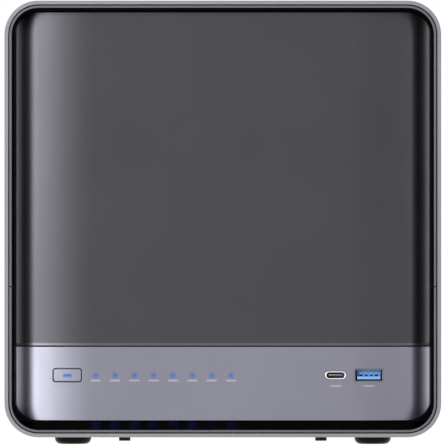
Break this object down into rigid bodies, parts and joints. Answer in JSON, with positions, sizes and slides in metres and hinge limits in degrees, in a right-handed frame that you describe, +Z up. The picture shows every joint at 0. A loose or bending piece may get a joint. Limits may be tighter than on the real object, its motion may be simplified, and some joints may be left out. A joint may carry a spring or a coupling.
{
  "type": "nas enclosure",
  "caption": "Desktop network storage enclosure: metal sleeve, pull-off front cover, upright drive trays with levers, control panel, rear fans and a slide-out board tray.",
  "frame": {"origin": "middle of the footprint, on the surface the feet stand on", "axes": "+X to the right seen from the front, +Y from the front to the rear, +Z up"},
  "size_m": [0.199, 0.2522, 0.2024],
  "materials": {
    "sleeve": "satin anodised",
    "foot_rubber": "moulded, semi-gloss",
    "ring_grey": "satin",
    "liner_black": "gloss",
    "frame_black": "matte",
    "magnet": "nickel plated",
    "panel_silver": "satin anodised",
    "light_blue": "lit",
    "connector_steel": "nickel plated",
    "tongue_black": "matte",
    "tongue_blue": "matte",
    "board_green": "solder resist",
    "switch_body": "matte",
    "cover_grey": "satin metallic",
    "cage_steel": "matte powder coat",
    "guide_black": "matte",
    "connector_black": "matte",
    "tray_black": "fine texture",
    "lever_black": "satin",
    "tray_zinc": "zinc plated",
    "rear_black": "matte powder coat",
    "screw_steel": "black zinc",
    "lock_screw": "black oxide",
    "fan_frame": "matte",
    "fan_rotor": "satin",
    "sink_aluminium": "plain"
  },
  "bodies": {
    "case": {"outer_shell": "sleeve", "feet": "foot_rubber", "bezel_upper": "ring_grey", "bezel_lower": "ring_grey", "liner_upper": "liner_black", "liner_lower": "liner_black", "bay_frame": "frame_black", "frame_magnets": "magnet", "lower_frame": "frame_black", "control_panel": "panel_silver", "status_lights": "light_blue", "usb_c_port": "connector_steel", "usb_c_tongue": "tongue_black", "usb_a_port": "connector_steel", "usb_a_tongue": "tongue_blue", "front_board": "board_green", "power_switch": "switch_body", "drive_cage": "cage_steel", "cage_top": "cage_steel", "guide_rails": "guide_black", "backplane": "board_green", "drive_connectors": "connector_black", "rear_panel": "rear_black", "fan_frame_left": "fan_frame", "fan_frame_right": "fan_frame", "case_fasteners": "screw_steel"},
    "cover": {"front_cover": "cover_grey", "cover_magnets": "magnet"},
    "button": {"power_button": "panel_silver", "button_light": "light_blue"},
    "tray_1": {"tray_1": "tray_black", "tray_side_1": "tray_zinc"},
    "lever_1": {"tray_lever_1": "lever_black"},
    "tray_2": {"tray_2": "tray_black", "tray_side_2": "tray_zinc"},
    "lever_2": {"tray_lever_2": "lever_black"},
    "tray_3": {"tray_3": "tray_black", "tray_side_3": "tray_zinc"},
    "lever_3": {"tray_lever_3": "lever_black"},
    "tray_4": {"tray_4": "tray_black", "tray_side_4": "tray_zinc"},
    "lever_4": {"tray_lever_4": "lever_black"},
    "tray_5": {"tray_5": "tray_black", "tray_side_5": "tray_zinc"},
    "lever_5": {"tray_lever_5": "lever_black"},
    "fan_left": {"fan_rotor_left": "fan_rotor"},
    "fan_right": {"fan_rotor_right": "fan_rotor"},
    "computer": {"board_tray": "cage_steel", "mainboard": "board_green", "heatsink": "sink_aluminium", "cpu_fan_frame": "fan_frame", "memory_modules": "board_green", "storage_heatsinks": "sink_aluminium", "lan_ports": "connector_steel", "rear_ports": "connector_steel", "power_inlet": "connector_black", "tray_handle": "sink_aluminium"},
    "cpu_fan": {"cpu_fan_rotor": "fan_rotor"},
    "lock_left": {"left_lock_screw": "lock_screw"},
    "lock_right": {"right_lock_screw": "lock_screw"}
  },
  "joints": [
    {"name": "cover_pull", "type": "slide", "parent": "case", "child": "cover", "axis": [0, -1, 0], "range_m": [0, 0.26]},
    {"name": "tray_1_slide", "type": "slide", "parent": "case", "child": "tray_1", "axis": [0, -1, 0], "range_m": [0, 0.15]},
    {"name": "tray_1_lever", "type": "hinge", "parent": "tray_1", "child": "lever_1", "pos_m": [-0.0728, -0.11225, 0.0821], "axis": [1, 0, 0], "range_deg": [0, 50]},
    {"name": "tray_2_slide", "type": "slide", "parent": "case", "child": "tray_2", "axis": [0, -1, 0], "range_m": [0, 0.15]},
    {"name": "tray_2_lever", "type": "hinge", "parent": "tray_2", "child": "lever_2", "pos_m": [-0.0364, -0.11225, 0.0821], "axis": [1, 0, 0], "range_deg": [0, 50]},
    {"name": "tray_3_slide", "type": "slide", "parent": "case", "child": "tray_3", "axis": [0, -1, 0], "range_m": [0, 0.15]},
    {"name": "tray_3_lever", "type": "hinge", "parent": "tray_3", "child": "lever_3", "pos_m": [0, -0.11225, 0.0821], "axis": [1, 0, 0], "range_deg": [0, 50]},
    {"name": "tray_4_slide", "type": "slide", "parent": "case", "child": "tray_4", "axis": [0, -1, 0], "range_m": [0, 0.15]},
    {"name": "tray_4_lever", "type": "hinge", "parent": "tray_4", "child": "lever_4", "pos_m": [0.0364, -0.11225, 0.0821], "axis": [1, 0, 0], "range_deg": [0, 50]},
    {"name": "tray_5_slide", "type": "slide", "parent": "case", "child": "tray_5", "axis": [0, -1, 0], "range_m": [0, 0.15]},
    {"name": "tray_5_lever", "type": "hinge", "parent": "tray_5", "child": "lever_5", "pos_m": [0.0728, -0.11225, 0.0821], "axis": [1, 0, 0], "range_deg": [0, 50]},
    {"name": "button_press", "type": "slide", "parent": "case", "child": "button", "axis": [0, 1, 0], "range_m": [0, 0.0008], "stiffness_N_per_m": 1500},
    {"name": "fan_left_spin", "type": "hinge", "parent": "case", "child": "fan_left", "pos_m": [-0.0472, 0.10385, 0.1326], "axis": [0, 1, 0], "continuous": true},
    {"name": "fan_right_spin", "type": "hinge", "parent": "case", "child": "fan_right", "pos_m": [0.0472, 0.10385, 0.1326], "axis": [0, 1, 0], "continuous": true},
    {"name": "board_tray_slide", "type": "slide", "parent": "case", "child": "computer", "axis": [0, 1, 0], "range_m": [0, 0.2]},
    {"name": "cpu_fan_spin", "type": "hinge", "parent": "computer", "child": "cpu_fan", "pos_m": [0, 0.03, 0.0412], "axis": [0, 0, 1], "continuous": true},
    {"name": "lock_left_turn", "type": "hinge", "parent": "case", "child": "lock_left", "pos_m": [-0.045, -0.08579, 0.0051], "axis": [0, 0, 1], "range_deg": [0, 720]},
    {"name": "lock_right_turn", "type": "hinge", "parent": "case", "child": "lock_right", "pos_m": [0.045, -0.08579, 0.0051], "axis": [0, 0, 1], "range_deg": [0, 720]}
  ],
  "couplings": [
    {"joint": "tray_1_slide", "follows": "cover_pull", "ratio": 0.5769},
    {"joint": "tray_1_lever", "follows": "cover_pull", "rad_per_m": 3.356},
    {"joint": "tray_2_slide", "follows": "cover_pull", "ratio": 0.5769},
    {"joint": "tray_2_lever", "follows": "cover_pull", "rad_per_m": 3.356},
    {"joint": "tray_3_slide", "follows": "cover_pull", "ratio": 0.5769},
    {"joint": "tray_3_lever", "follows": "cover_pull", "rad_per_m": 3.356},
    {"joint": "tray_4_slide", "follows": "cover_pull", "ratio": 0.5769},
    {"joint": "tray_4_lever", "follows": "cover_pull", "rad_per_m": 3.356},
    {"joint": "tray_5_slide", "follows": "cover_pull", "ratio": 0.5769},
    {"joint": "tray_5_lever", "follows": "cover_pull", "rad_per_m": 3.356}
  ]
}
